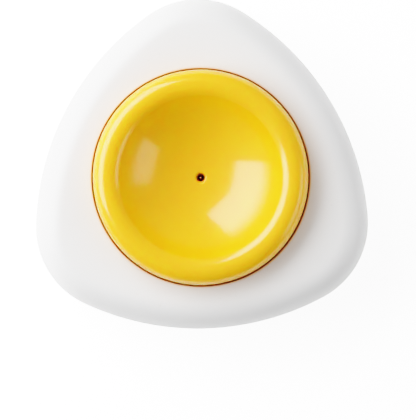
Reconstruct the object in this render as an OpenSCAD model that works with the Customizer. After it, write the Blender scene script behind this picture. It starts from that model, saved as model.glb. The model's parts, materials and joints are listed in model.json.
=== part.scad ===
// Press-down egg piercer: a rounded three-cornered housing with a sprung round cup.
// An egg is set in the cup and pressed down, and a fixed needle comes up through the hole in the bowl.
// Millimetres. The origin is the middle of the underside, +Z is up, and one rounded corner points to +Y.

/* [Housing outline] */
// Radius of the three rounded corners, at the widest height
corner_r = 17.3; // [15:0.1:20]
// Distance from the cup's axis to the centre of each corner round
corner_d = 19.4; // [18:0.1:21]
// Radius of the three bowed sides
side_r = 54.6; // [48:0.1:70]

/* [Housing section] */
// Height of the flat top face
body_h = 16.5; // [15:0.1:19]
// Height at which the wall is widest
belly_z = 8; // [7:0.1:10]
// Radius of the wall's outward bow
belly_r = 30; // [24:1:60]
// Radius of the shoulder between wall and top face
shoulder_r = 5.5; // [4:0.1:6.5]
// Radius of the round at the foot of the wall
foot_r = 2.8; // [2.2:0.1:4]
// Wall thickness of the housing
shell_wall = 1.8; // [1.4:0.1:2]
// Width of the flat rim that the housing stands on
foot_rim = 1; // [0.6:0.1:2]
// Edge break round the mouth
mouth_edge = 0.3; // [0.1:0.05:0.6]

/* [Collar inside the housing] */
// Wall thickness of the collar that guides the cup
collar_wall = 1.5; // [1.2:0.1:2]
// Thickness of the collar's floor
floor_t = 1.5; // [1.2:0.1:2]
// Radius of the opening in the collar's floor
floor_hole_r = 13; // [10:0.5:14]
// Thickness of the stiffening ribs under the roof
rib_t = 1.2; // [0.8:0.1:2]
// Height of the stiffening ribs under the roof
rib_h = 4; // [2:0.5:6]

/* [Cup] */
// Outside diameter of the cup
cup_d = 43.5; // [40:0.1:46]
// Height of the rim's crest above the housing's top face
rim_rise = 5.5; // [5:0.1:7]
// Radius of the rim's outer round
rim_out_r = 2.9; // [2.4:0.05:3.4]
// Radius of the rim's inner round
rim_in_r = 3.4; // [3:0.1:5]
// Spherical radius of the bowl
bowl_r = 21; // [20:0.5:36]
// Wall thickness of the cup
cup_wall = 1.6; // [1.2:0.1:2]
// Running gap between the cup and the housing
cup_gap = 0.35; // [0.2:0.05:0.5]
// Distance that the cup can be pressed down
travel = 4.5; // [3:0.1:5]
// Gap between the guide bead round the skirt and the housing's mouth
bead_gap = 0.1; // [0.06:0.02:0.16]
// Depth of that bead below the housing's top
bead_depth = 0.9; // [0.7:0.1:1.2]
// Height of the bead's upright face
bead_h = 0.6; // [0.4:0.1:0.8]
// Gap left under the skirt when the cup is fully down
end_gap = 0.4; // [0.3:0.1:1]

/* [Snap lugs] */
// How far a lug stands out past the mouth's edge
lug_reach = 0.9; // [0.6:0.1:1.2]
// Height of a lug
lug_h = 1.5; // [1:0.1:2]
// Width of a lug round the skirt
lug_w = 7; // [4:0.5:9]
// Gap beside a lug in its window
lug_gap = 0.3; // [0.2:0.05:0.5]
// Width of the slits that free each lug
slit_w = 1; // [0.6:0.1:1.5]
// Height of those slits
slit_h = 3.6; // [2:0.1:4]

/* [Needle] */
// Diameter of the needle
needle_d = 1.1; // [0.8:0.05:1.3]
// Length of the needle's ground point
point_l = 3; // [2:0.1:4]
// Radius of the needle's rounded tip
tip_r = 0.15; // [0.05:0.05:0.25]
// Depth of the needle's tip below the bowl when the cup is up
tip_depth = 0.7; // [0.6:0.1:2]
// Diameter of the needle hole in the bowl
needle_hole_d = 1.7; // [1.6:0.05:2.2]
// Radius of the round at the needle hole's edge
hole_edge = 0.5; // [0.1:0.05:0.6]
// Diameter of the post that grips the needle
post_d = 3.6; // [3:0.1:4]
// Thickness of the needle holder's flange
flange_t = 1.2; // [0.8:0.1:1.5]
// Diameter of the spigot in the base plate
spigot_d = 4; // [3.4:0.1:5]
// Gap between the post and the cup when the cup is fully down
post_gap = 0.6; // [0.4:0.1:1]
// Gap of the seated fits, all round
fit_gap = 0.05; // [0.03:0.01:0.1]

/* [Spring] */
// Mean diameter of the spring
spring_d = 10; // [9.6:0.1:11]
// Diameter of the spring wire
wire_d = 0.6; // [0.5:0.05:0.8]
// Number of turns
spring_turns = 4; // [4:0.5:5]
// Rise of the closer first and last turns
end_pitch = 1.3; // [1.2:0.05:1.5]
// Depth of the solid pad under the bowl that takes the spring
pad_t = 1.6; // [1.4:0.1:2.2]
// Height of the ring round the spring's upper end
ring_h = 1.5; // [1:0.1:2]
// Wall thickness of that ring
ring_t = 1.2; // [0.8:0.1:1.4]
// Gap between the spring and the pieces that centre it
spring_gap = 0.35; // [0.3:0.05:0.5]

/* [Magnet] */
// Diameter of the magnet
magnet_d = 38.3; // [38:0.1:42]
// Thickness of the magnet
magnet_t = 2; // [1.5:0.1:2.5]
// Edge break of the magnet
magnet_edge = 0.3; // [0.1:0.05:0.5]
// Thickness of the adhesive pad
tape_t = 0.2; // [0.1:0.05:0.4]
// How far the pad's edge lies inside the magnet's edge
tape_inset = 0.5; // [0.2:0.1:1]
// Gap round the magnet in its pocket
magnet_gap = 0.2; // [0.1:0.05:0.4]

/* [Base plate] */
// Thickness of the plate and of the pocket's roof and wall
plate_t = 1.6; // [1.2:0.1:1.8]
// Hairline gap between the plate and the housing
seam = 0.15; // [0.1:0.05:0.3]
// Thickness of the plate's upright edge and ribs
plate_rib_t = 1.2; // [0.8:0.1:1.6]

/* [Screws] */
// Diameter of the screw shank
screw_d = 2.2; // [1.8:0.1:2.5]
// Length of the screw under its head
screw_l = 6.5; // [5:0.5:7]
// Diameter of the screw head
head_d = 4; // [3.4:0.1:4.2]
// Height of the screw head
head_h = 1.5; // [1.2:0.1:1.8]
// Plate thickness under a screw head
seat_t = 1.3; // [1:0.1:2]
// Diameter of the housing's screw bosses
boss_d = 5; // [4.4:0.1:5.4]
// Gap between a boss and the cup's skirt
boss_gap = 1; // [0.5:0.1:1.5]
// Gap round a screw head, and round its shank in the plate
screw_gap = 0.3; // [0.2:0.05:0.4]

/* [Hidden] */
$fn = 96;
// Overshoot of a cut past the face that it opens
past = 1;

// Plan: three corner arcs and three side arcs, tangent to each other
first_corner = 90;
first_side = 30;
third = 120;
centre_gap = side_r - corner_r;
half_chord = corner_d * sin(60);
chord_reach = sqrt(centre_gap * centre_gap - half_chord * half_chord);
side_c = chord_reach - corner_d / 2;
side_half = asin(half_chord / centre_gap);
corner_half = 60 - side_half;

// Edge section: shoulder, belly and foot arcs, tangent to each other, as offsets from the widest line
shoulder_z = body_h - shoulder_r;
shoulder_x = sqrt(pow(belly_r - shoulder_r, 2) - pow(shoulder_z - belly_z, 2)) - belly_r;
shoulder_turn = atan2(shoulder_z - belly_z, shoulder_x + belly_r);
foot_x = sqrt(pow(belly_r - foot_r, 2) - pow(foot_r - belly_z, 2)) - belly_r;
foot_turn = atan2(foot_r - belly_z, foot_x + belly_r);
opening_inset = foot_rim - foot_x;
// Steps along the arcs of the plan and of the edge section
arc_steps = 16;
foot_steps = 4;
belly_steps = 2;
shoulder_steps = 8;
// Steps along the arcs of the cup's section
rim_steps = 12;
bowl_steps = 16;
under_steps = 6;

// Levels from the underside up
pocket_z = magnet_t + tape_t;
plate_top = pocket_z + plate_t;
head_gap = 0.1;
head_seat = pocket_z + head_gap + head_h;
floor_z = head_seat + seat_t;
floor_top = floor_z + floor_t;
skirt_z = floor_top + end_gap + travel;
lug_top = skirt_z + lug_h;
crest_z = body_h + rim_rise;

// Cup section: outer round, inner round and bowl, tangent to each other
cup_r = cup_d / 2;
mouth_r = cup_r + cup_gap;
crest_r = cup_r - rim_out_r;
bowl_c = crest_z - rim_in_r + sqrt(pow(bowl_r + rim_in_r, 2) - crest_r * crest_r);
bowl_z = bowl_c - bowl_r;
bowl_turn = asin(crest_r / (bowl_r + rim_in_r));
pad_z = bowl_z - pad_t;
hole_r = needle_hole_d / 2;
lip_r = hole_r + hole_edge;
lip_turn = asin(lip_r / (bowl_r + hole_edge));
lip_z = bowl_c - (bowl_r + hole_edge) * cos(lip_turn);
lip_steps = 4;
bead_r = mouth_r - bead_gap;
bead_side = bead_r - cup_r;
bead_top = body_h - bead_depth;

// Spring between the plate's roof and the cup's pad
spring_in = spring_d / 2 - wire_d / 2 - spring_gap;
spring_edge = spring_d / 2 + wire_d / 2 + spring_gap;
spring_sides = 8;
spring_steps = 16;
spring_seat = 0.02;
spring_low = plate_top + wire_d / 2 + spring_seat;
spring_high = pad_z - wire_d / 2 - spring_seat;
middle_pitch = (spring_high - spring_low - 2 * end_pitch) / (spring_turns - 2);

// Needle and its holder
tip_z = bowl_z - tip_depth;
point_run = point_l - tip_r;
point_turn = acos(tip_r / norm([needle_d / 2, point_run])) - atan2(point_run, needle_d / 2);
tip_steps = 5;
needle_floor = pocket_z + plate_t / 2;
post_top = pad_z - travel - post_gap;
post_edge = 0.4;

// Screws on a circle that clears the cup's skirt
screw_circle = cup_r - cup_wall - boss_gap - boss_d / 2;
screw_tip = 0.8;
screw_tip_d = 1.1;
head_edge = 0.5;
recess_w = 0.5;
recess_l = 2.2;
recess_depth = 0.7;
boss_top = head_seat + screw_l + screw_tip;
plate_boss_d = head_d + 2 * screw_gap + 2 * plate_rib_t;
lug_r = mouth_r + lug_reach;
lug_angle = lug_w / mouth_r * 180 / PI;
lug_play = lug_gap / mouth_r * 180 / PI;
slit_angle = slit_w / mouth_r * 180 / PI;

function polar(r, a) = [r * cos(a), r * sin(a)];
function corner_at(k) = polar(corner_d, first_corner + third * k);
function side_at(k) = polar(-side_c, first_side + third * k);

// Points of an arc about a centre, from one direction to another, without the last point
function arc(centre, r, from, to, steps) =
    [for (i = [0 : steps - 1]) centre + polar(r, from + (to - from) * i / steps)];

// The plan outline, moved inwards by an inset: each corner arc is followed by the next side's arc
function plan_points(inset) = [for (k = [0 : 2])
    let (corner_turn = first_corner + third * k, side_turn = first_side + third * (k + 1))
    each concat(
        arc(corner_at(k), corner_r - inset, corner_turn - corner_half, corner_turn + corner_half, arc_steps),
        arc(side_at(k + 1), side_r - inset, side_turn - side_half, side_turn + side_half, arc_steps)
    )];

// The edge section from the underside up to the top face: how far out from the widest line, and how high
function edge_points(inset) = concat(
    arc([foot_x, foot_r], foot_r - inset, -90, foot_turn, foot_steps),
    arc([-belly_r, belly_z], belly_r - inset, foot_turn, 0, belly_steps),
    arc([-belly_r, belly_z], belly_r - inset, 0, shoulder_turn, belly_steps),
    arc([shoulder_x, shoulder_z], shoulder_r - inset, shoulder_turn, 90, shoulder_steps),
    [[shoulder_x, body_h - inset]]
);

module outline(inset) {
    polygon(plan_points(inset));
}

// The housing's outer form, or its hollow at an inset: the edge section carried round the plan outline
module pebble(inset) {
    edge = edge_points(inset);
    rings = len(edge);
    count = len(plan_points(0));
    points = [for (e = edge, p = plan_points(-e[0])) [p[0], p[1], e[1]]];
    wall = [for (j = [0 : rings - 2], i = [0 : count - 1])
        let (a = j * count + i, b = j * count + (i + 1) % count)
        each [[a, b + count, b], [a, a + count, b + count]]];
    underside = [for (i = [0 : count - 1]) i];
    top = [for (i = [0 : count - 1]) rings * count - 1 - i];
    polyhedron(points, concat(wall, [underside, top]));
}

// Repeats its children on the three corner directions, at a radius
module at_corners(r) {
    for (k = [0 : 2]) rotate(first_corner + third * k) translate([r, 0, 0]) children();
}

// Repeats a turned section on the three side directions, over an angle
module at_sides(angle) {
    for (k = [0 : 2])
        rotate(first_side + third * k - angle / 2) rotate_extrude(angle = angle) children();
}

module top_shell() {
    color("white") difference() {
        union() {
            difference() {
                union() {
                    difference() {
                        pebble(0);
                        pebble(shell_wall);
                        translate([0, 0, -past])
                            linear_extrude(shell_wall + 2 * past) outline(opening_inset);
                    }
                    translate([0, 0, floor_z])
                        cylinder(r = mouth_r + collar_wall, h = body_h - shell_wall / 2 - floor_z);
                    roof_ribs();
                }
                translate([0, 0, floor_top]) cylinder(r = mouth_r, h = body_h);
                translate([0, 0, floor_z - past]) cylinder(r = floor_hole_r, h = body_h);
                translate([0, 0, body_h - mouth_edge])
                    cylinder(r1 = mouth_r, r2 = mouth_r + mouth_edge + past, h = mouth_edge + past);
                lug_windows();
            }
            at_corners(screw_circle)
                translate([0, 0, floor_z]) cylinder(d = boss_d, h = boss_top - floor_z);
        }
        at_corners(screw_circle)
            translate([0, 0, floor_z - past])
                cylinder(d = screw_d + 2 * fit_gap, h = head_seat + screw_l + fit_gap - floor_z + past);
    }
}

// Stiffening ribs from the collar out under the roof, towards the three corners
module roof_ribs() {
    rib_end = corner_d + corner_r + shoulder_x;
    rib_top = body_h - shell_wall / 2;
    at_corners(mouth_r + collar_wall / 2)
        translate([0, -rib_t / 2, rib_top - rib_h - shell_wall / 2])
            cube([rib_end - mouth_r - collar_wall / 2, rib_t, rib_h + shell_wall / 2]);
}

// Windows in the collar that the lugs travel in, with the upper stop at the lugs' resting height
module lug_windows() {
    at_sides(lug_angle + 2 * lug_play)
        translate([mouth_r - past, floor_top]) square([collar_wall + 2 * past, lug_top - floor_top]);
}

module base_plate() {
    edge_inset = opening_inset + seam;
    wall_r = magnet_d / 2 + magnet_gap + plate_t;
    color("white") difference() {
        union() {
            linear_extrude(plate_t) outline(edge_inset);
            linear_extrude(plate_top) difference() {
                outline(edge_inset);
                outline(edge_inset + plate_rib_t);
            }
            cylinder(r = wall_r, h = plate_top);
            plate_ribs(edge_inset + plate_rib_t / 2);
            at_corners(screw_circle) cylinder(d = plate_boss_d, h = floor_z);
        }
        translate([0, 0, -past]) cylinder(d = magnet_d + 2 * magnet_gap, h = pocket_z + past);
        translate([0, 0, -past]) cylinder(d = spigot_d + 2 * fit_gap, h = plate_top + 2 * past);
        at_corners(screw_circle) {
            translate([0, 0, -past]) cylinder(d = head_d + 2 * screw_gap, h = head_seat + past);
            cylinder(d = screw_d + 2 * screw_gap, h = floor_z + past);
        }
    }
}

// Ribs from the magnet pocket's wall out to the plate's edge, towards the corners and the sides
module plate_ribs(inset) {
    start = magnet_d / 2 + magnet_gap + plate_t / 2;
    corner_end = corner_d + corner_r - inset;
    side_end = side_r - side_c - inset;
    for (k = [0 : 2]) {
        rotate(first_corner + third * k) plate_rib(start, corner_end);
        rotate(first_side + third * k) plate_rib(start, side_end);
    }
}

module plate_rib(start, end) {
    translate([start, -plate_rib_t / 2, 0]) cube([end - start, plate_rib_t, plate_top - plate_t / 2]);
}

// Section of the cup's wall: spring pad and ring, the underside, the skirt and its bead, then the rim and the bowl
function cup_points() =
    let (
        ring_r = spring_edge + ring_t,
        under_r = bowl_r + cup_wall,
        rim_out = [crest_r, crest_z - rim_out_r],
        rim_in = [crest_r, crest_z - rim_in_r],
        bowl = [0, bowl_c]
    )
    concat(
        [[hole_r, pad_z], [spring_edge, pad_z], [spring_edge, pad_z - ring_h], [ring_r, pad_z - ring_h]],
        arc(bowl, under_r, asin(ring_r / under_r) - 90, bowl_turn - 90, under_steps),
        arc(rim_in, rim_in_r - cup_wall, 90 + bowl_turn, 90, under_steps),
        arc(rim_out, rim_out_r - cup_wall, 90, 0, under_steps),
        [[cup_r - cup_wall, crest_z - rim_out_r], [cup_r - cup_wall, skirt_z], [cup_r, skirt_z]],
        [[cup_r, bead_top - bead_h - 2 * bead_side], [bead_r, bead_top - bead_h - bead_side]],
        [[bead_r, bead_top - bead_side], [cup_r, bead_top]],
        arc(rim_out, rim_out_r, 0, 90, rim_steps),
        arc(rim_in, rim_in_r, 90, 90 + bowl_turn, rim_steps),
        arc(bowl, bowl_r, bowl_turn - 90, lip_turn - 90, bowl_steps),
        arc([lip_r, lip_z], hole_edge, 90 + lip_turn, 180, lip_steps),
        [[hole_r, lip_z]]
    );

// Section of a snap lug, with a ramp on its lower side
module lug_section() {
    polygon([
        [cup_r - cup_wall / 2, skirt_z],
        [cup_r, skirt_z],
        [lug_r, skirt_z + lug_h / 2],
        [lug_r, lug_top],
        [cup_r - cup_wall / 2, lug_top]
    ]);
}

module egg_cup() {
    color("gold") difference() {
        union() {
            rotate_extrude() polygon(cup_points());
            at_sides(lug_angle + slit_angle) lug_section();
        }
        for (k = [0 : 2]) lug_slits(first_side + third * k);
    }
}

// The pair of slits that trim a lug's ends, cut up from the skirt's lower edge
module lug_slits(turn) {
    for (way = [-1, 1])
        rotate(turn + way * (lug_angle + slit_angle) / 2)
            translate([cup_r - cup_wall - past, -slit_w / 2, skirt_z - past])
                cube([cup_wall + 3 * past, slit_w, slit_h + past]);
}

module needle_holder() {
    post_r = post_d / 2;
    color("goldenrod") difference() {
        rotate_extrude() polygon([
            [0, pocket_z + head_gap],
            [spigot_d / 2, pocket_z + head_gap],
            [spigot_d / 2, plate_top],
            [spring_in, plate_top],
            [spring_in, plate_top + flange_t],
            [post_r, plate_top + flange_t],
            [post_r, post_top - post_edge],
            [post_r - post_edge, post_top],
            [0, post_top]
        ]);
        translate([0, 0, needle_floor]) cylinder(d = needle_d + 2 * fit_gap, h = post_top);
    }
}

// The needle, with a ground point that runs into its rounded tip
module needle() {
    color("silver") rotate_extrude() polygon(concat(
        [[0, needle_floor], [needle_d / 2, needle_floor], [needle_d / 2, tip_z - point_l]],
        arc([0, tip_z - tip_r], tip_r, point_turn, 90, tip_steps),
        [[0, tip_z]]
    ));
}

// Height of the spring's centre line after a number of turns: close end turns, open turns between
function spring_rise(t) =
    t < 1 ? end_pitch * t :
    t < spring_turns - 1 ? end_pitch + middle_pitch * (t - 1) :
    end_pitch + middle_pitch * (spring_turns - 2) + end_pitch * (t - spring_turns + 1);

// A point of the wire at a number of turns, off its centre line by a distance out and a distance up
function wire_point(t, out, up) =
    let (r = spring_d / 2 + out)
    [r * cos(360 * t), r * sin(360 * t), spring_low + spring_rise(t) + up];

// Least gap of the wire to itself, measured between centre points half a turn or more apart
function spring_clearance(rings) =
    min([for (i = [0 : rings], j = [i + spring_steps / 2 : 1 : rings])
        norm(wire_point(i / spring_steps, 0, 0) - wire_point(j / spring_steps, 0, 0))]) - wire_d;

module return_spring() {
    rings = round(spring_turns * spring_steps);
    wire_r = wire_d / 2;
    points = [for (i = [0 : rings], j = [0 : spring_sides - 1])
        let (a = 360 * j / spring_sides)
        wire_point(i / spring_steps, wire_r * cos(a), wire_r * sin(a))];
    sides = [for (i = [0 : rings - 1], j = [0 : spring_sides - 1])
        let (a = i * spring_sides + j, b = i * spring_sides + (j + 1) % spring_sides)
        each [[a, b, b + spring_sides], [a, b + spring_sides, a + spring_sides]]];
    last = rings * spring_sides;
    caps = [for (j = [1 : spring_sides - 2])
        each [[0, j + 1, j], [last, last + j, last + j + 1]]];
    echo(least_gap_of_spring_to_itself = spring_clearance(rings));
    color("silver") polyhedron(points, concat(sides, caps));
}

module housing_screws() {
    color("silver") at_corners(screw_circle) difference() {
        rotate_extrude() polygon([
            [0, head_seat - head_h],
            [head_d / 2 - head_edge, head_seat - head_h],
            [head_d / 2, head_seat - head_h + head_edge],
            [head_d / 2, head_seat],
            [screw_d / 2, head_seat],
            [screw_d / 2, head_seat + screw_l - screw_tip],
            [screw_tip_d / 2, head_seat + screw_l],
            [0, head_seat + screw_l]
        ]);
        for (turn = [0, 90])
            rotate(turn) translate([-recess_l / 2, -recess_w / 2, head_seat - head_h - past])
                cube([recess_l, recess_w, recess_depth + past]);
    }
}

module magnet_tape() {
    color("dimgray") translate([0, 0, magnet_t]) cylinder(d = magnet_d - 2 * tape_inset, h = tape_t);
}

module magnet_disc() {
    magnet_r = magnet_d / 2;
    color([0.25, 0.25, 0.26]) rotate_extrude() polygon([
        [0, 0],
        [magnet_r - magnet_edge, 0],
        [magnet_r, magnet_edge],
        [magnet_r, magnet_t],
        [0, magnet_t]
    ]);
}

top_shell();
base_plate();
egg_cup();
needle_holder();
needle();
return_spring();
housing_screws();
magnet_tape();
magnet_disc();
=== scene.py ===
# %% [markdown]
# # A press-down egg piercer
# This lesson dresses a small kitchen tool: a white three-cornered housing, and in its middle a glossy
# yellow cup. When the cup is pressed it sinks, and a needle comes up through the hole in its bowl.
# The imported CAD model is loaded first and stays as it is. Everything here is in metres, in its frame.

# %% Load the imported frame
import json
from math import asin, atan2, cos, degrees, hypot, pi, radians, sin, sqrt

import bmesh
import bpy
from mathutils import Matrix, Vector

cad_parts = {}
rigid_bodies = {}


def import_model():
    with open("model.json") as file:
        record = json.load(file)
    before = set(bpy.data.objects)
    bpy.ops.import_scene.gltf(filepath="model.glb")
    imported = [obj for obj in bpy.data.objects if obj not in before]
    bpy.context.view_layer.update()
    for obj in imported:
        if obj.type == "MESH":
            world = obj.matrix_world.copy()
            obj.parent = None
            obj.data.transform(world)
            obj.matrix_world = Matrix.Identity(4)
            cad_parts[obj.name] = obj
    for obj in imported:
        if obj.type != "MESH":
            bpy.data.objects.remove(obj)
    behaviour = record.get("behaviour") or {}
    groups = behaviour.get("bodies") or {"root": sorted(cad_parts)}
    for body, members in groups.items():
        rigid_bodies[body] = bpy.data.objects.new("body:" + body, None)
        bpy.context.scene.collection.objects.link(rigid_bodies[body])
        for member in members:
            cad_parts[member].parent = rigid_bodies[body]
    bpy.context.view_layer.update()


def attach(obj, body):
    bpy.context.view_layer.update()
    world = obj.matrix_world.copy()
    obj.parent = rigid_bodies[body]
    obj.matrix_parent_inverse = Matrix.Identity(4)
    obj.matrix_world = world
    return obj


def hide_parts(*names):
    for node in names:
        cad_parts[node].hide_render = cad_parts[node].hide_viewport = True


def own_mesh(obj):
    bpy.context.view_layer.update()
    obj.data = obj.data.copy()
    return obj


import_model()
MM = 0.001

# %% [markdown]
# ## The camera
# The photograph looks straight down, from far enough away that the walls hardly show. A long lens on a
# camera 0.7 m up does the same. The object stands a little left of the frame's middle and above it, so the
# camera is moved over the frame's middle, and no lens shift is needed.

# %% Camera over the cup
CAMERA_AT = Vector((1.3 * MM, -6.65 * MM, 0.7))
CAMERA_ROLL = radians(-1.7)
SENSOR_WIDTH, LENS = 36, 291.7

bpy.ops.object.select_all(action="DESELECT")
bpy.ops.object.camera_add(location=CAMERA_AT, rotation=(0, 0, CAMERA_ROLL))
camera = bpy.context.object
camera.name = "photo_camera"
camera.data.sensor_fit = "HORIZONTAL"
camera.data.sensor_width = SENSOR_WIDTH
camera.data.lens = LENS
bpy.context.scene.camera = camera
print("camera height", CAMERA_AT.z, "lens", camera.data.lens)

# %% [markdown]
# ## Floor, light and film
# The yellow bowl is a curved mirror, so its highlights tell where the lamps stood: two soft boxes edge to
# edge at the left and upper left, and a weaker one at the right. Their lower edges are soft in the bowl, so
# the panels fade there. An area lamp is a plain rectangle or ellipse, and the highlights' corners ask for
# freer shapes. Each box is therefore a glowing panel, placed by the directions in which the cup sees its
# four corners. A faint glow from all round fills the shadows. It is weakest near the floor at the lower
# right, opposite the two strong boxes.
# The floor is pale paper, overexposed until it is white. So the camera sees it several times as bright as
# it is, with only a faint shadow, while the object gets the light that plain paper sends back.
# A camera's film bends its brightest tones over instead of clipping them. A curve in the view settings
# does that.

# %% Node helpers for light
def feed(tree, value, socket):
    """Give a socket its value: another node's output is linked, anything else is set."""
    if isinstance(value, bpy.types.NodeSocket):
        tree.links.new(value, socket)
    else:
        socket.default_value = value


def set_inputs(tree, node, values):
    """Give a node's inputs their values, by the names of the sockets."""
    for socket, value in values.items():
        feed(tree, value, node.inputs[socket])


def ramp_node(tree, value, low, high, to_low=0.0, to_high=1.0):
    """Add a clamped Map Range from low..high to to_low..to_high."""
    node = tree.nodes.new("ShaderNodeMapRange")
    set_inputs(tree, node, {"Value": value, "From Min": low, "From Max": high})
    set_inputs(tree, node, {"To Min": to_low, "To Max": to_high})
    return node.outputs["Result"]


def split_rays(tree, lit, seen, output):
    """Let the camera see one shader, and all other rays meet another."""
    split = tree.nodes.new("ShaderNodeMixShader")
    feed(tree, tree.nodes.new("ShaderNodeLightPath").outputs["Is Camera Ray"], split.inputs["Fac"])
    feed(tree, lit, split.inputs[1])
    feed(tree, seen, split.inputs[2])
    feed(tree, split.outputs["Shader"], tree.nodes[output].inputs["Surface"])


def grey(level):
    return (level, level, level, 1)


# %% Soft boxes
TARGET = Vector((0, 0, 16 * MM))
LAMP_DISTANCE = 0.36


def towards(azimuth, zenith):
    """A unit step from the cup: azimuth turns round the axis, zenith leans from upright, in degrees."""
    turn, lean = radians(azimuth), radians(zenith)
    return Vector((sin(lean) * cos(turn), sin(lean) * sin(turn), cos(lean)))


def glowing(name, radiance, fade_from):
    """Make a material that only gives out light. It fades from a part of the height to the lower edge."""
    material = bpy.data.materials.new(name)
    material.use_nodes = True
    tree = material.node_tree
    tree.nodes.remove(tree.nodes["Principled BSDF"])
    down = tree.nodes.new("ShaderNodeSeparateXYZ")
    lamp = tree.nodes.new("ShaderNodeEmission")
    feed(tree, tree.nodes.new("ShaderNodeTexCoord").outputs["UV"], down.inputs["Vector"])
    feed(tree, ramp_node(tree, down.outputs["Y"], fade_from, 1, radiance, 0), lamp.inputs["Strength"])
    feed(tree, lamp.outputs["Emission"], tree.nodes["Material Output"].inputs["Surface"])
    return material


def soft_box(name, upper, lower, radiance, fade_from):
    """Hang a panel between two upper and two lower corners, each an azimuth and a zenith."""
    bpy.ops.object.select_all(action="DESELECT")
    bpy.ops.mesh.primitive_plane_add(size=1)
    panel = bpy.context.object
    panel.name = panel.data.name = name
    for corner, seen_at in zip(panel.data.vertices, upper + lower):
        corner.co = TARGET + towards(*seen_at) * LAMP_DISTANCE
    panel.data.materials.append(glowing(name, radiance, fade_from))
    panel.visible_camera = False
    print(name, "radiance", radiance, "square metres", round(panel.data.polygons[0].area, 4))


KEY_RADIANCE, FILL_RADIANCE = 5.0, 1.97
KEY_FADE, FILL_FADE = 0.64, 0.72
SEAM_HIGH, SEAM_LOW = (154, 36), (150, 84)
soft_box("key_left", ((203, 41), SEAM_HIGH), ((189, 84), SEAM_LOW), KEY_RADIANCE, KEY_FADE)
soft_box("key_upper_left", (SEAM_HIGH, (98, 41)), (SEAM_LOW, (118, 84)), KEY_RADIANCE, KEY_FADE)
soft_box("fill_right", ((6, 54.5), (-36, 54.5)), ((5, 84), (-37, 85)), FILL_RADIANCE, FILL_FADE)

# %% Glow from all round
GLOW_LEFT, GLOW_RIGHT, BACKDROP = 0.415, 0.03, 4
DARK_SIDE = towards(-45, 105)
EVEN_UP_TO = -0.2

world = bpy.data.worlds.new("studio")
bpy.context.scene.world = world
world.use_nodes = True
sky = world.node_tree
across = sky.nodes.new("ShaderNodeVectorMath")
across.operation = "DOT_PRODUCT"
across.inputs[1].default_value = DARK_SIDE
feed(sky, sky.nodes.new("ShaderNodeTexCoord").outputs["Generated"], across.inputs[0])
fall = ramp_node(sky, across.outputs["Value"], EVEN_UP_TO, 1, GLOW_LEFT, GLOW_RIGHT)
glow = sky.nodes["Background"]
backdrop = sky.nodes.new("ShaderNodeBackground")
set_inputs(sky, glow, {"Color": grey(1), "Strength": fall})
set_inputs(sky, backdrop, {"Color": grey(1), "Strength": BACKDROP})
split_rays(sky, glow.outputs["Background"], backdrop.outputs["Background"], "World Output")
print("glow", GLOW_LEFT, "to", GLOW_RIGHT, "backdrop", BACKDROP)

# %% Pale floor
PAPER_R, PAPER_SIDES = 1.6, 96
PAPER_TONE, PAPER_ROUGHNESS, PAPER_LIFT, SEEN_TONE = 0.86, 0.9, 0.37, 3.8

bpy.ops.object.select_all(action="DESELECT")
bpy.ops.mesh.primitive_circle_add(vertices=PAPER_SIDES, radius=PAPER_R, fill_type="NGON")
floor = bpy.context.object
floor.name = "pale_floor"
floor_paint = bpy.data.materials.new("pale_floor")
floor_paint.use_nodes = True
floor_tree = floor_paint.node_tree
paper = floor_tree.nodes["Principled BSDF"]
set_inputs(floor_tree, paper, {"Base Color": grey(PAPER_TONE), "Roughness": PAPER_ROUGHNESS})
set_inputs(floor_tree, paper, {"Emission Color": grey(1), "Emission Strength": PAPER_LIFT})
seen_paper = floor_tree.nodes.new("ShaderNodeBsdfDiffuse")
seen_paper.inputs["Color"].default_value = grey(SEEN_TONE)
split_rays(floor_tree, paper.outputs["BSDF"], seen_paper.outputs["BSDF"], "Material Output")
floor.data.materials.append(floor_paint)
print("floor", [round(d, 2) for d in floor.dimensions])

# %% Film curve
FILM = (
    (0, 0), (0.02, 0.012), (0.1, 0.13), (0.23, 0.37), (0.36, 0.52), (0.47, 0.62),
    (0.65, 0.745), (0.9, 0.855), (1.28, 0.933), (1.75, 0.96), (2.5, 0.975), (4, 1),
)
WHITE_LEVEL = FILM[-1][0]
ALL_CHANNELS = 3

film = bpy.context.scene.view_settings
film.view_transform = "Standard"
film.use_curve_mapping = True
film.curve_mapping.white_level = (WHITE_LEVEL, WHITE_LEVEL, WHITE_LEVEL)
tones = film.curve_mapping.curves[ALL_CHANNELS].points
tones[0].location, tones[1].location = FILM[0], (1, 1)
for scene_tone, shown_tone in FILM[1:-1]:
    tones.new(scene_tone / WHITE_LEVEL, shown_tone)
film.curve_mapping.update()
print("film points", len(tones))

# %% [markdown]
# ## Shared surface effects
# Moulded plastic is never one flat colour: the mould leaves a fine grain, the pigment is a little cloudy,
# and a few specks show. Dust settles in patches, and a lathe leaves rings. Each effect is a node group,
# built once. It gives masks and heights only, and each material decides what they do.

# %% Node helpers for surfaces
def new_group(name, inputs, outputs):
    """Make a shader node group with float sockets, and give it with its input and output nodes."""
    group = bpy.data.node_groups.new(name, "ShaderNodeTree")
    for socket, value in inputs.items():
        made = group.interface.new_socket(socket, in_out="INPUT", socket_type="NodeSocketFloat")
        made.default_value = value
    for socket in outputs:
        group.interface.new_socket(socket, in_out="OUTPUT", socket_type="NodeSocketFloat")
    return group, group.nodes.new("NodeGroupInput"), group.nodes.new("NodeGroupOutput")


def math_node(tree, operation, *values):
    """Add a Math node. A value is a number or another node's output."""
    node = tree.nodes.new("ShaderNodeMath")
    node.operation = operation
    for value, socket in zip(values, node.inputs):
        feed(tree, value, socket)
    return node.outputs["Value"]


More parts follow.
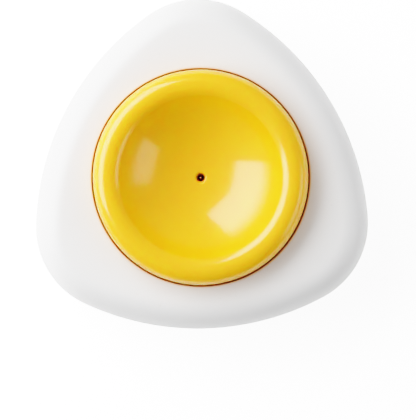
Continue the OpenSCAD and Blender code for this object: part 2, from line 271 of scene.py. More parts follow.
def noise_node(tree, scale, detail=3, roughness=0.5, vector=None):
    """Add a Noise Texture, on the piece's own coordinates if none are given, and give its value."""
    node = tree.nodes.new("ShaderNodeTexNoise")
    if vector is None:
        vector = tree.nodes.new("ShaderNodeTexCoord").outputs["Object"]
    set_inputs(tree, node, {"Vector": vector, "Scale": scale, "Detail": detail, "Roughness": roughness})
    return node.outputs["Fac"]


def axis_place(tree):
    """Give a point's distance from the upright axis, and its height, from the piece's own coordinates."""
    split = tree.nodes.new("ShaderNodeSeparateXYZ")
    feed(tree, tree.nodes.new("ShaderNodeTexCoord").outputs["Object"], split.inputs["Vector"])
    x, y, height = split.outputs["X"], split.outputs["Y"], split.outputs["Z"]
    squares = math_node(tree, "ADD", math_node(tree, "MULTIPLY", x, x), math_node(tree, "MULTIPLY", y, y))
    return math_node(tree, "SQRT", squares), height


# %% Moulded plastic group
NOISE_LOW, NOISE_HIGH = 0.3, 0.7
SPECK_SCALE, SPECK_FROM, SPECK_TO = 0.45, 0.73, 0.79

moulded, given, result = new_group(
    "moulded_plastic", {"Grain size": 0.3 * MM, "Cloud size": 15 * MM}, ("Grain", "Clouds", "Specks")
)
grain_scale = math_node(moulded, "DIVIDE", 1.0, given.outputs["Grain size"])
cloud_scale = math_node(moulded, "DIVIDE", 1.0, given.outputs["Cloud size"])
grain = noise_node(moulded, grain_scale, detail=4, roughness=0.6)
clouds = noise_node(moulded, cloud_scale)
speck_noise = noise_node(moulded, math_node(moulded, "MULTIPLY", grain_scale, SPECK_SCALE), detail=1)
feed(moulded, grain, result.inputs["Grain"])
feed(moulded, ramp_node(moulded, clouds, NOISE_LOW, NOISE_HIGH), result.inputs["Clouds"])
feed(moulded, ramp_node(moulded, speck_noise, SPECK_FROM, SPECK_TO), result.inputs["Specks"])
print(moulded.name, "nodes", len(moulded.nodes))

# %% Settled dust group
BARE_LEVEL, COVER_REACH, PATCH_EDGE = 0.78, 0.5, 0.24
MOTE_SCALE, MOTE_FROM, MOTE_TO, MOTE_LEAST = 26, 0.35, 0.65, 0.35

dusty, given, result = new_group("settled_dust", {"Patch size": 10 * MM, "Cover": 0.5}, ("Dust",))
patch_scale = math_node(dusty, "DIVIDE", 1.0, given.outputs["Patch size"])
patches = noise_node(dusty, patch_scale, detail=6, roughness=0.62)
covered = math_node(dusty, "MULTIPLY", given.outputs["Cover"], COVER_REACH)
threshold = math_node(dusty, "SUBTRACT", BARE_LEVEL, covered)
patch_mask = ramp_node(dusty, patches, threshold, math_node(dusty, "ADD", threshold, PATCH_EDGE))
motes = noise_node(dusty, math_node(dusty, "MULTIPLY", patch_scale, MOTE_SCALE), detail=2)
mote_mask = ramp_node(dusty, motes, MOTE_FROM, MOTE_TO, MOTE_LEAST, 1.0)
feed(dusty, math_node(dusty, "MULTIPLY", patch_mask, mote_mask), result.inputs["Dust"])
print(dusty.name, "nodes", len(dusty.nodes))

# %% Turned rings group
turned, given, result = new_group("turned_rings", {"Ring pitch": 0.2 * MM}, ("Rings",))
tool_path = math_node(turned, "ADD", *axis_place(turned))
ring_place = turned.nodes.new("ShaderNodeCombineXYZ")
feed(turned, math_node(turned, "DIVIDE", tool_path, given.outputs["Ring pitch"]), ring_place.inputs["Z"])
rings = noise_node(turned, 1.0, detail=2, vector=ring_place.outputs["Vector"])
feed(turned, ramp_node(turned, rings, NOISE_LOW, NOISE_HIGH), result.inputs["Rings"])
print(turned.name, "nodes", len(turned.nodes))

# %% [markdown]
# ## Materials
# The white housing is satin plastic, and the cup is the same plastic from a polished mould. The magnet is
# raw ferrite, grey with dust, and its edge is darkened by painted shade where the gap round it and its
# chamfer lie in shadow. The steel and brass inside are bare metal with tool marks. Each colour is mixed
# from two close tones by the shared masks, and the same masks move the roughness and the bump.
# Yellow plastic lets red light through, so the needle hole looks maroon. Subsurface scattering with a long
# red radius does that. Light in the gap round the cup bounces off yellow many times, more often than a
# render follows it, so the mouth's wall and edge wear a painted warm tint of that bounced light, which
# fades out within a millimetre.

# %% Material helpers
# The Mix node has its two colours and their mix at these places in its lists of sockets.
FIRST_COLOUR, SECOND_COLOUR, MIXED_COLOUR = 6, 7, 2


def new_material(name):
    """Make a node material, and give it with its tree and its Principled shader."""
    material = bpy.data.materials.new(name)
    material.use_nodes = True
    tree = material.node_tree
    return material, tree, tree.nodes["Principled BSDF"]


def place_group(tree, group, values):
    """Put a shared group into a material with its own values, and give its outputs."""
    node = tree.nodes.new("ShaderNodeGroup")
    node.node_tree = group
    set_inputs(tree, node, values)
    return node.outputs


def mix_colours(tree, mask, first, second, share=1):
    """Mix two colours by a mask, or by a share of it. A colour is three numbers or a node's output."""
    node = tree.nodes.new("ShaderNodeMix")
    node.data_type = "RGBA"
    feed(tree, mask if share == 1 else math_node(tree, "MULTIPLY", mask, share), node.inputs["Factor"])
    for place, colour in ((FIRST_COLOUR, first), (SECOND_COLOUR, second)):
        feed(tree, (*colour, 1) if isinstance(colour, tuple) else colour, node.inputs[place])
    return node.outputs[MIXED_COLOUR]


def set_surface(tree, shader, colour, roughness, relief, depth, strength):
    """Wire up a surface: its colour, its roughness, and a relief raised by up to a depth in metres."""
    bump = tree.nodes.new("ShaderNodeBump")
    set_inputs(tree, bump, {"Height": relief, "Distance": depth, "Strength": strength})
    normal = bump.outputs["Normal"]
    set_inputs(tree, shader, {"Base Color": colour, "Roughness": roughness, "Normal": normal})


# %% White satin plastic
WHITE_TONE, WHITE_CLOUD = (0.785, 0.783, 0.781), (0.765, 0.763, 0.761)
WHITE_SPECK, PAINTED_BOUNCE_TINT = (0.67, 0.66, 0.63), (0.82, 0.45, 0.2)
BOUNCE_NEAR, BOUNCE_FAR = 22.05 * MM, 22.75 * MM
BOUNCE_LOW, BOUNCE_HIGH = 12.9 * MM, 13.1 * MM
BOUNCE_POWER = 2

white_plastic, tree, shader = new_material("white_satin_plastic")
mask = place_group(tree, moulded, {"Grain size": 0.28 * MM, "Cloud size": 17 * MM})
tone = mix_colours(tree, mask["Clouds"], WHITE_TONE, WHITE_CLOUD)
speckled = mix_colours(tree, mask["Specks"], tone, WHITE_SPECK, share=0.35)
from_axis, height = axis_place(tree)
# The warm tint beside the cup is painted bounce light: orange light reflected off the yellow cup into the
# gap.
nearness = ramp_node(tree, from_axis, BOUNCE_NEAR, BOUNCE_FAR, to_low=1, to_high=0)
beside_cup = math_node(tree, "POWER", nearness, BOUNCE_POWER)
above_lugs = ramp_node(tree, height, BOUNCE_LOW, BOUNCE_HIGH)
painted_bounce = math_node(tree, "MULTIPLY", beside_cup, above_lugs)
bounce_painted = mix_colours(tree, painted_bounce, speckled, PAINTED_BOUNCE_TINT)
satin = ramp_node(tree, mask["Grain"], NOISE_LOW, NOISE_HIGH, to_low=0.34, to_high=0.44)
set_surface(tree, shader, bounce_painted, satin, relief=mask["Grain"], depth=0.02 * MM, strength=0.35)
print(white_plastic.name, "nodes", len(tree.nodes))

# %% Glossy yellow plastic
YELLOW_TONE, YELLOW_CLOUD = (0.99, 0.46, 0.003), (0.985, 0.445, 0.003)
YELLOW_SPECK = (0.84, 0.39, 0.003)

yellow_plastic, tree, shader = new_material("glossy_yellow_plastic")
mask = place_group(tree, moulded, {"Grain size": 1.6 * MM, "Cloud size": 12 * MM})
tone = mix_colours(tree, mask["Clouds"], YELLOW_TONE, YELLOW_CLOUD)
speckled = mix_colours(tree, mask["Specks"], tone, YELLOW_SPECK, share=0.25)
gloss = ramp_node(tree, mask["Clouds"], 0, 1, to_low=0.13, to_high=0.17)
set_surface(tree, shader, speckled, gloss, relief=mask["Grain"], depth=0.01 * MM, strength=0.2)
set_inputs(tree, shader, {
    "IOR": 1.6,
    "Specular IOR Level": 0.35,
    "Subsurface Weight": 0.9,
    "Subsurface Radius": (2.7, 0.7, 0.1),
    "Subsurface Scale": MM,
    "Coat Weight": 0.5,
    "Coat Roughness": 0.42,
})
print(yellow_plastic.name, "nodes", len(tree.nodes))

# %% Raw ferrite
STONE_TONE, STONE_CLOUD = (0.016, 0.016, 0.024), (0.03, 0.03, 0.037)
STONE_DUST, EDGE_SHADE_TONE = (0.1, 0.1, 0.107), (0.006, 0.006, 0.007)
EDGE_SHADE_FROM, EDGE_SHADE_TO = 18.3 * MM, 18.7 * MM

ferrite, tree, shader = new_material("raw_ferrite")
mask = place_group(tree, moulded, {"Grain size": 0.22 * MM, "Cloud size": 9 * MM})
dust = place_group(tree, dusty, {"Patch size": 13 * MM, "Cover": 0.6})
stone = mix_colours(tree, mask["Clouds"], STONE_TONE, STONE_CLOUD)
dusted = mix_colours(tree, dust["Dust"], stone, STONE_DUST, share=0.6)
from_axis = axis_place(tree)[0]
# The dark ring at the edge is painted shade: the gap round the disc and its chamfer in shadow.
edge_shaded = mix_colours(tree, ramp_node(tree, from_axis, EDGE_SHADE_FROM, EDGE_SHADE_TO), dusted, EDGE_SHADE_TONE)
matt = ramp_node(tree, dust["Dust"], 0, 1, to_low=0.6, to_high=0.9)
set_surface(tree, shader, edge_shaded, matt, relief=mask["Grain"], depth=0.03 * MM, strength=0.5)
set_inputs(tree, shader, {"Specular IOR Level": 0.3})
print(ferrite.name, "nodes", len(tree.nodes))

# %% Bare metals
def bare_metal(name, bright, dull, pitch, smooth, rough):
    """A turned or drawn metal: two close tones and a roughness, both moved by its rings."""
    material, tree, shader = new_material(name)
    marks = place_group(tree, turned, {"Ring pitch": pitch})
    stain = place_group(tree, dusty, {"Patch size": 2.5 * MM, "Cover": 0.4})
    tone = mix_colours(tree, marks["Rings"], bright, dull)
    stained = mix_colours(tree, stain["Dust"], tone, dull, share=0.4)
    sheen = ramp_node(tree, marks["Rings"], 0, 1, smooth, rough)
    set_surface(tree, shader, stained, sheen, relief=marks["Rings"], depth=0.005 * MM, strength=0.4)
    set_inputs(tree, shader, {"Metallic": 1.0})
    print(name, "nodes", len(tree.nodes))
    return material


needle_steel = bare_metal(
    "ground_steel", bright=(0.86, 0.84, 0.82), dull=(0.7, 0.68, 0.66),
    pitch=0.06 * MM, smooth=0.3, rough=0.42,
)
spring_steel = bare_metal(
    "drawn_spring_steel", bright=(0.56, 0.55, 0.53), dull=(0.36, 0.35, 0.33),
    pitch=0.15 * MM, smooth=0.25, rough=0.42,
)
holder_brass = bare_metal(
    "turned_brass", bright=(0.82, 0.58, 0.24), dull=(0.66, 0.43, 0.16),
    pitch=0.1 * MM, smooth=0.22, rough=0.4,
)
screw_steel = bare_metal(
    "zinc_plated_steel", bright=(0.7, 0.71, 0.74), dull=(0.55, 0.56, 0.58),
    pitch=0.12 * MM, smooth=0.28, rough=0.42,
)

# %% Adhesive pad
FOAM_DARK, FOAM_LIGHT, FOAM_DUST = (0.05, 0.05, 0.052), (0.09, 0.09, 0.092), (0.25, 0.25, 0.25)

adhesive, tree, shader = new_material("foam_adhesive_pad")
mask = place_group(tree, moulded, {"Grain size": 0.35 * MM, "Cloud size": 6 * MM})
dust = place_group(tree, dusty, {"Patch size": 4 * MM, "Cover": 0.3})
foam = mix_colours(tree, mask["Grain"], FOAM_DARK, FOAM_LIGHT)
dusted = mix_colours(tree, dust["Dust"], foam, FOAM_DUST, share=0.4)
matt = ramp_node(tree, mask["Grain"], NOISE_LOW, NOISE_HIGH, to_low=0.75, to_high=0.95)
set_surface(tree, shader, dusted, matt, relief=mask["Grain"], depth=0.06 * MM, strength=0.6)
print(adhesive.name, "nodes", len(tree.nodes))

# %% [markdown]
# ## Drawing a section
# Each moulded piece here is one thin section carried round a path. The section is drawn as a draughtsperson
# would do it: start with one point, extrude it for a straight line, and spin it about a centre for an arc.
# The drawing plane is x = 0, with y outwards and z up. With no window open, Blender's spin turns clockwise
# about its axis, so the axis points the other way here and a positive angle turns anticlockwise.

# %% Drawing helpers
WELD = 0.002 * MM
NEAR = 0.01 * MM


def begin_section(y, z):
    """Put one point on the drawing plane. In edit mode it joins the open piece, else it starts one."""
    bpy.ops.mesh.primitive_plane_add(size=MM, location=(0, y, z))
    if bpy.context.mode == "OBJECT":
        bpy.ops.object.transform_apply()
        bpy.ops.object.mode_set(mode="EDIT")
    bpy.ops.mesh.select_mode(type="VERT")
    bpy.ops.mesh.merge(type="CENTER")


def line(out, up):
    """Draw a straight line from the pen's place."""
    bpy.ops.mesh.extrude_region_move(TRANSFORM_OT_translate={"value": (0, out, up)})


def arc(centre, turn, steps):
    """Draw an arc from the pen's place, about a centre (y, z), by a turn in degrees."""
    bpy.ops.mesh.spin(steps=steps, angle=radians(turn), center=(0, *centre), axis=(-1, 0, 0))


def sweep(centre, turn, steps):
    """Carry the selected section round an upright axis at (x, y), by a turn in degrees."""
    bpy.ops.mesh.spin(steps=steps, angle=radians(turn), center=(*centre, 0), axis=(0, 0, -1))


def weld():
    """Select all of the open piece, and merge the points that lie together."""
    bpy.ops.mesh.select_all(action="SELECT")
    bpy.ops.mesh.remove_doubles(threshold=WELD)


def select_by_place(piece, kind, test):
    """In edit mode, select the verts, edges or faces whose middle passes a test, and no others."""
    bpy.ops.mesh.select_mode(type=kind)
    bpy.ops.mesh.select_all(action="DESELECT")
    mesh = bmesh.from_edit_mesh(piece.data)
    chosen = 0
    for item in {"VERT": mesh.verts, "EDGE": mesh.edges, "FACE": mesh.faces}[kind]:
        corners = [item] if kind == "VERT" else item.verts
        middle = sum((v.co for v in corners), Vector()) / len(corners)
        if test(middle, item):
            item.select_set(True)
            chosen += 1
    mesh.select_flush_mode()
    bmesh.update_edit_mesh(piece.data)
    return chosen


def finish_piece(piece, body, material, sharp=40):
    """Close seams, point the faces outwards, shade by angle, and tie the piece to its body."""
    weld()
    bpy.ops.mesh.normals_make_consistent(inside=False)
    bpy.ops.object.mode_set(mode="OBJECT")
    bpy.ops.object.shade_smooth_by_angle(angle=radians(sharp))
    piece.data.materials.clear()
    piece.data.materials.append(material)
    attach(piece, body)
    mesh = bmesh.new()
    mesh.from_mesh(piece.data)
    open_edges = sum(len(e.link_faces) != 2 for e in mesh.edges)
    volume = mesh.calc_volume(signed=True) / MM**3
    mesh.free()
    print(piece.name, "faces", len(piece.data.polygons), "open edges", open_edges, "mm3", round(volume, 1))


# %% [markdown]
# ## The white housing
# The housing is one moulded shell. From above it is a rounded triangle: three corner arcs and three bowed
# sides, each arc running smoothly into the next. Its wall has a small round at the foot, a slight belly and
# a large soft shoulder. A subdivided cube could come near, but then the arcs would only be guessed. Here
# the wall's section is drawn once, inner side and outer side, and swept round the six arcs one after
# another.

# %% Housing sizes
# R is a radius, D a distance from the axis, H a height, T a thickness, X a step outwards, Z a height above
# the paper, and C the distance or height of a centre.
CORNER_R, CORNER_D, SIDE_R = 17.3 * MM, 19.4 * MM, 54.6 * MM
BODY_H, BELLY_Z, BELLY_R = 16.5 * MM, 8 * MM, 30 * MM
SHOULDER_R, FOOT_R, WALL, FOOT_RIM = 5.5 * MM, 2.8 * MM, 1.8 * MM, 1 * MM

HALF_CHORD = CORNER_D * sin(radians(60))
SIDE_C = sqrt((SIDE_R - CORNER_R) ** 2 - HALF_CHORD**2) - CORNER_D / 2
SIDE_HALF = degrees(asin(HALF_CHORD / (SIDE_R - CORNER_R)))
CORNER_HALF = 60 - SIDE_HALF

SHOULDER_Z = BODY_H - SHOULDER_R
SHOULDER_X = sqrt((BELLY_R - SHOULDER_R) ** 2 - (SHOULDER_Z - BELLY_Z) ** 2) - BELLY_R
SHOULDER_TURN = degrees(atan2(SHOULDER_Z - BELLY_Z, SHOULDER_X + BELLY_R))
FOOT_X = sqrt((BELLY_R - FOOT_R) ** 2 - (FOOT_R - BELLY_Z) ** 2) - BELLY_R
FOOT_TURN = degrees(atan2(FOOT_R - BELLY_Z, FOOT_X + BELLY_R))
print("corner", round(2 * CORNER_HALF, 2), "side", round(2 * SIDE_HALF, 2), "degrees")

# %% Housing wall section
WIDEST = CORNER_D + CORNER_R
shoulder = (WIDEST + SHOULDER_X, SHOULDER_Z)
belly = (WIDEST - BELLY_R, BELLY_Z)
foot = (WIDEST + FOOT_X, FOOT_R)

bpy.ops.object.select_all(action="DESELECT")
begin_section(shoulder[0], BODY_H - WALL)
housing = bpy.context.object
housing.name = housing.data.name = "housing_shell"
arc(shoulder, SHOULDER_TURN - 90, steps=8)
arc(belly, FOOT_TURN - SHOULDER_TURN, steps=5)
arc(foot, -90 - FOOT_TURN, steps=5)
line(-FOOT_RIM, 0)
line(0, -WALL)
line(FOOT_RIM, 0)
arc(foot, 90 + FOOT_TURN, steps=10)
arc(belly, SHOULDER_TURN - FOOT_TURN, steps=10)
arc(shoulder, 90 - SHOULDER_TURN, steps=18)
print("section points", len(bmesh.from_edit_mesh(housing.data).verts))

# %% Sweep round the six arcs
CORNER_STEPS, SIDE_STEPS = 20, 28


def on_circle(radius, angle):
    """A place (x, y) at a radius from the axis and an angle in degrees."""
    return (radius * cos(radians(angle)), radius * sin(radians(angle)))


half_corner = (CORNER_HALF, CORNER_STEPS // 2)
whole_corner = (2 * CORNER_HALF, CORNER_STEPS)
bpy.ops.mesh.select_all(action="SELECT")
sweep(on_circle(CORNER_D, 90), *half_corner)
for side_angle, next_corner in ((150, whole_corner), (270, whole_corner), (390, half_corner)):
    sweep(on_circle(-SIDE_C, side_angle), 2 * SIDE_HALF, SIDE_STEPS)
    sweep(on_circle(CORNER_D, side_angle + 60), *next_corner)
weld()
print("swept wall points", len(bmesh.from_edit_mesh(housing.data).verts))

# %% [markdown]
# The cup slides in a round collar that hangs from the top face, with an open floor. The collar's section is
# drawn in the same mesh and spun once round. Two bridges, above and below, then join the round mouth to the
# three-cornered shoulder. They come out even, because both loops have the same number of points.

# %% Collar and top face
CUP_R, CUP_GAP, MOUTH_EDGE = 21.75 * MM, 0.35 * MM, 0.3 * MM
COLLAR_WALL, FLOOR_Z, FLOOR_T, FLOOR_HOLE_R = 1.5 * MM, 5.1 * MM, 1.5 * MM, 13 * MM
LUG_TOP = 13 * MM
MOUTH_R = CUP_R + CUP_GAP
FLOOR_TOP = FLOOR_Z + FLOOR_T
ROUND_STEPS = 3 * (CORNER_STEPS + SIDE_STEPS)

bpy.ops.mesh.select_all(action="DESELECT")
begin_section(MOUTH_R + MOUTH_EDGE, BODY_H)
arc((MOUTH_R + MOUTH_EDGE, BODY_H - MOUTH_EDGE), 90, steps=4)
line(0, LUG_TOP - BODY_H + MOUTH_EDGE)
line(0, FLOOR_TOP - LUG_TOP)
line(FLOOR_HOLE_R - MOUTH_R, 0)
line(0, -FLOOR_T)
line(MOUTH_R + COLLAR_WALL - FLOOR_HOLE_R, 0)
line(0, FLOOR_T)
line(0, LUG_TOP - FLOOR_TOP)
line(0, BODY_H - WALL - LUG_TOP)
bpy.ops.mesh.select_linked()
sweep((0, 0), 360, ROUND_STEPS)
weld()


def open_rim_at(height):
    """A test for the edges of an open rim at a height."""
    return lambda middle, edge: len(edge.link_faces) == 1 and abs(middle.z - height) < NEAR


for rim_height in (BODY_H, BODY_H - WALL):
    rim_edges = select_by_place(housing, "EDGE", open_rim_at(rim_height))
    bpy.ops.mesh.bridge_edge_loops()
    print("bridged", rim_edges, "edges at", round(rim_height / MM, 2), "mm")

# %% Windows for the lugs
SIDE_ANGLES = (30, 150, 270)
WINDOW_HALF = 10
WALL_REACH = 0.55
UPRIGHT_LIMIT = 0.1


def off_angle(point, angle):
    """How far a point lies from a direction, in degrees."""
    return abs((degrees(atan2(point.y, point.x)) - angle + 180) % 360 - 180)


def in_round_wall(point, inner, thickness):
    """Whether a point lies in or on an upright round wall. The reach is a little over half of it."""
    return abs(hypot(point.x, point.y) - inner - thickness / 2) < thickness * WALL_REACH


def window_face(angle):
    """A test for the collar's faces, inside and outside, where a lug's window is cut."""
    def test(middle, face):
        on_wall = in_round_wall(middle, MOUTH_R, COLLAR_WALL) and abs(face.normal.z) < UPRIGHT_LIMIT
        return on_wall and FLOOR_TOP < middle.z < LUG_TOP and off_angle(middle, angle) < WINDOW_HALF
    return test


for side_angle in SIDE_ANGLES:
    window_faces = select_by_place(housing, "FACE", window_face(side_angle))
    bpy.ops.mesh.bridge_edge_loops()
    print("window at", side_angle, "from", window_faces, "faces")
bpy.ops.object.mode_set(mode="OBJECT")

# %% [markdown]
# Inside, three screw bosses stand on the collar's floor and three ribs stiffen the roof. They are simple
# blocks, so they are set out towards the corners, joined to the shell with a Boolean, and bored for the
# screws.

# %% Bosses and ribs
CORNER_ANGLES = (90, 210, 330)
SCREW_CIRCLE, BOSS_R, BOSS_TOP, POST_SIDES = 16.65 * MM, 2.5 * MM, 11.1 * MM, 48
BORE_R, BORE_TOP = 1.15 * MM, 10.35 * MM
RIB_T, RIB_Z, RIB_TOP = 1.2 * MM, 10.7 * MM, BODY_H - WALL / 2
RIB_START, RIB_END = MOUTH_R + COLLAR_WALL / 2, shoulder[0]


def stand(radius, angle, low, high):
    """Stand a round post at a corner's direction, on the screws' circle."""
    place = (*on_circle(SCREW_CIRCLE, angle), (low + high) / 2)
    bpy.ops.mesh.primitive_cylinder_add(
        vertices=POST_SIDES, radius=radius, depth=high - low, location=place
    )
    return bpy.context.object


def rib(angle):
    """Set an upright rib from the collar out towards a corner."""
    bpy.ops.mesh.primitive_cube_add(
        size=1,
        location=(*on_circle((RIB_START + RIB_END) / 2, angle), (RIB_Z + RIB_TOP) / 2),
        rotation=(0, 0, radians(angle)),
        scale=(RIB_END - RIB_START, RIB_T, RIB_TOP - RIB_Z),
    )
    return bpy.context.object


def join(pieces):
    """Join pieces into one, which becomes the active one."""
    bpy.ops.object.select_all(action="DESELECT")
    for piece in pieces:
        piece.select_set(True)
    bpy.context.view_layer.objects.active = pieces[0]
    bpy.ops.object.join()
    return bpy.context.object


def combine(blocks, operation):
    """Join blocks into one, and add it to the housing or take it away."""
    tool = join(blocks)
    bpy.ops.object.transform_apply()
    bpy.context.view_layer.objects.active = housing
    boolean = housing.modifiers.new("fittings", "BOOLEAN")
    boolean.operation = operation
    boolean.solver = "EXACT"
    boolean.object = tool
    bpy.ops.object.modifier_apply(modifier=boolean.name)
    bpy.data.objects.remove(tool)


bosses = [stand(BOSS_R, angle, FLOOR_Z + FLOOR_T / 2, BOSS_TOP) for angle in CORNER_ANGLES]
combine(bosses + [rib(angle) for angle in CORNER_ANGLES], "UNION")
combine([stand(BORE_R, angle, FLOOR_Z - FLOOR_T, BORE_TOP) for angle in CORNER_ANGLES], "DIFFERENCE")
bpy.ops.object.select_all(action="DESELECT")
housing.select_set(True)
bpy.ops.object.mode_set(mode="EDIT")
finish_piece(housing, "housing", white_plastic)
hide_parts("top_shell")

# %% [markdown]
# ## The yellow cup
# The cup is turned in form: a round bowl, a fat rolled rim, and a skirt that slides in the collar. Its hole
# has a tiny rounded lip, which catches the light in the photograph. A bead round the skirt guides the cup
# in the mouth. It fills most of the gap, which is why the photograph shows a brown line there and not a
# black one.
# One closed section is drawn and spun round, and the three snap lugs are pulled out of the skirt
# afterwards.

# %% Cup sizes
CREST_Z, RIM_OUT_R, RIM_IN_R = 22 * MM, 2.9 * MM, 3.4 * MM
BOWL_R, CUP_WALL = 21 * MM, 1.6 * MM
HOLE_R, LIP_R, PAD_T = 0.85 * MM, 0.5 * MM, 1.6 * MM
SKIRT_Z, LUG_H, LUG_R = 11.5 * MM, 1.5 * MM, 23 * MM
BEAD_TOP, BEAD_H, BEAD_OUT = 15.6 * MM, 0.6 * MM, 0.25 * MM
SPRING_EDGE, RING_T, RING_H = 5.65 * MM, 1.2 * MM, 1.5 * MM

SLIT_TOP = BEAD_TOP - BEAD_H - 2 * BEAD_OUT
CREST_R = CUP_R - RIM_OUT_R
BOWL_C = CREST_Z - RIM_IN_R + sqrt((BOWL_R + RIM_IN_R) ** 2 - CREST_R**2)
BOWL_TURN = degrees(asin(CREST_R / (BOWL_R + RIM_IN_R)))
PAD_Z = BOWL_C - BOWL_R - PAD_T
print("bowl centre", round(BOWL_C / MM, 2), "mm, bowl turn", round(BOWL_TURN, 2), "degrees")

# %% Cup section
lip_y = HOLE_R + LIP_R
lip = (lip_y, BOWL_C - sqrt((BOWL_R + LIP_R) ** 2 - lip_y**2))
lip_turn = degrees(asin(lip_y / (BOWL_R + LIP_R)))
bowl = (0, BOWL_C)
rim_in = (CREST_R, CREST_Z - RIM_IN_R)
rim_out = (CREST_R, CREST_Z - RIM_OUT_R)
ring_out = SPRING_EDGE + RING_T
under_turn = degrees(asin(ring_out / (BOWL_R + CUP_WALL)))
under_end = BOWL_C - sqrt((BOWL_R + CUP_WALL) ** 2 - ring_out**2)

bpy.ops.object.select_all(action="DESELECT")
begin_section(HOLE_R, PAD_Z)
cup = bpy.context.object
cup.name = cup.data.name = "cup_shell"
line(0, lip[1] - PAD_Z)
arc(lip, lip_turn - 90, steps=6)
arc(bowl, BOWL_TURN - lip_turn, steps=36)
arc(rim_in, -BOWL_TURN, steps=18)
arc(rim_out, -90, steps=24)
line(0, BEAD_TOP - rim_out[1])
line(BEAD_OUT, -BEAD_OUT)
line(0, -BEAD_H)
line(-BEAD_OUT, -BEAD_OUT)
skirt_steps = (SLIT_TOP - LUG_TOP, LUG_H / 2, LUG_H / 2)
for step in skirt_steps:
    line(0, -step)
line(-CUP_WALL, 0)
for step in reversed(skirt_steps):
    line(0, step)
line(0, rim_out[1] - SLIT_TOP)
arc(rim_out, 90, steps=8)
arc(rim_in, BOWL_TURN, steps=6)
arc(bowl, under_turn - BOWL_TURN, steps=12)
line(0, PAD_Z - RING_H - under_end)
line(-RING_T, 0)
line(0, RING_H)
line(HOLE_R - SPRING_EDGE, 0)
print("section points", len(bmesh.from_edit_mesh(cup.data).verts))

# %% Spin the cup and pull out its lugs
CUP_STEPS = 240
LUG_HALF, SLIT_END = 9, 12
LUG_GROWTH = LUG_R / CUP_R

weld()
sweep((0, 0), 360, CUP_STEPS)
weld()
bpy.ops.mesh.normals_make_consistent(inside=False)


def lug_face(angle):
    """A test for the skirt's outer faces that one lug is pulled out of."""
    def test(middle, face):
        on_skirt = hypot(middle.x, middle.y) > CUP_R - CUP_WALL / 4 and middle.z < LUG_TOP
        return on_skirt and off_angle(middle, angle) < LUG_HALF
    return test


def lug_foot(middle, vert):
    """A test for the lowest outer points of the lugs, which are drawn in to make ramps."""
    return middle.z < SKIRT_Z + NEAR and hypot(middle.x, middle.y) > (CUP_R + LUG_R) / 2


def scale_out(factor):
    """Move the selected points away from the axis, or towards it."""
    bpy.ops.transform.resize(value=(factor, factor, 1), center_override=(0, 0, 0))


for side_angle in SIDE_ANGLES:
    lug_faces = select_by_place(cup, "FACE", lug_face(side_angle))
    bpy.ops.mesh.extrude_region()
    scale_out(LUG_GROWTH)
    print("lug at", side_angle, "from", lug_faces, "faces")
feet = select_by_place(cup, "VERT", lug_foot)
scale_out(1 / LUG_GROWTH)
print("ramped foot points", feet)

# %% [markdown]
# Two slits free each lug, so that it can spring inwards when the cup is put in. The skirt's faces there are
# deleted, inside, outside and below, and the two open edges that are left are bridged through the wall.

# %% Slits beside the lugs
def beside_lug(angle, way):
    """A test for what lies in the slit on one side of a lug, up to the bead."""
    middle_angle = angle + way * (LUG_HALF + SLIT_END) / 2
    half = (SLIT_END - LUG_HALF) / 2

    def test(middle, face):
        on_skirt = in_round_wall(middle, CUP_R - CUP_WALL, CUP_WALL) and middle.z < SLIT_TOP
        return on_skirt and off_angle(middle, middle_angle) < half
    return test


def slit_edge(middle, edge):
    """A test for the open edges of a slit, apart from those along the skirt's foot."""
    return len(edge.link_faces) == 1 and middle.z > SKIRT_Z + NEAR


for side_angle in SIDE_ANGLES:
    for way in (-1, 1):
        slit_faces = select_by_place(cup, "FACE", beside_lug(side_angle, way))
        bpy.ops.mesh.delete(type="FACE")
        slit_edges = select_by_place(cup, "EDGE", slit_edge)
        bpy.ops.mesh.bridge_edge_loops()
        print("slit at", side_angle, "took", slit_faces, "faces and bridged", slit_edges, "edges")
finish_piece(cup, "cup", yellow_plastic)
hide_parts("egg_cup")

# %% [markdown]
# ## The return spring
# The spring is one length of wire with close end turns and open turns between. A round section is wound up
# three times with the Screw modifier, once for each pitch, and the windings are joined end to end. When the
# cup is pressed the spring flattens towards the base plate.

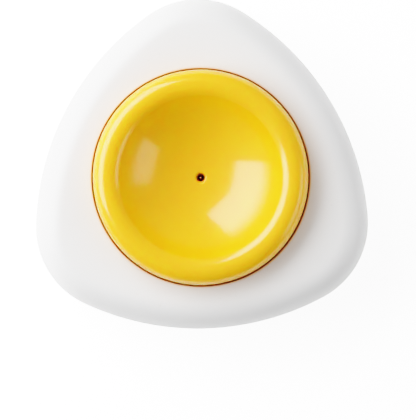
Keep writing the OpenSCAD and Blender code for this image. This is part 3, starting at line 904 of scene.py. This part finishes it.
# %% Wind the spring
SPRING_R, WIRE_R = 5 * MM, 0.3 * MM
PLATE_TOP = 3.8 * MM
SEAT_GAP = 0.02 * MM
END_PITCH, MIDDLE_TURNS = 1.3 * MM, 2
WIRE_SIDES, TURN_STEPS = 12, 40
spring_low = PLATE_TOP + WIRE_R + SEAT_GAP
spring_high = PAD_Z - WIRE_R - SEAT_GAP
middle_pitch = (spring_high - spring_low - 2 * END_PITCH) / MIDDLE_TURNS


def wind(height, pitch, turns):
    """Stand a wire section at the start of a winding, and wind it up round the axis."""
    bpy.ops.object.select_all(action="DESELECT")
    bpy.ops.mesh.primitive_circle_add(
        vertices=WIRE_SIDES, radius=WIRE_R, location=(SPRING_R, 0, height), rotation=(pi / 2, 0, 0)
    )
    bpy.ops.object.transform_apply()
    winding = bpy.context.object
    screw = winding.modifiers.new("winding", "SCREW")
    screw.axis = "Z"
    screw.angle = 2 * pi
    screw.screw_offset = pitch
    screw.iterations = turns
    screw.steps = screw.render_steps = TURN_STEPS
    bpy.ops.object.modifier_apply(modifier=screw.name)
    return winding


spring = join([
    wind(spring_low, END_PITCH, 1),
    wind(spring_low + END_PITCH, middle_pitch, MIDDLE_TURNS),
    wind(spring_high - END_PITCH, END_PITCH, 1),
])
spring.name = spring.data.name = "spring_wire"
bpy.ops.object.mode_set(mode="EDIT")
weld()
select_by_place(spring, "EDGE", lambda middle, edge: len(edge.link_faces) == 1)
bpy.ops.mesh.fill()
finish_piece(spring, "housing", spring_steel)
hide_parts("return_spring")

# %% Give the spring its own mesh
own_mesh(spring)

# %% [markdown]
# ## The pieces that keep their CAD shape
# The other six pieces are already right as solids. They only change their materials.

# %% Dress the CAD nodes
DRESS = {
    "base_plate": white_plastic,
    "needle_holder": holder_brass,
    "needle": needle_steel,
    "housing_screws": screw_steel,
    "magnet_tape": adhesive,
    "magnet_disc": ferrite,
}
for node_name, material in DRESS.items():
    bpy.data.objects[node_name].material_slots[0].material = material
    print(node_name, "wears", material.name)
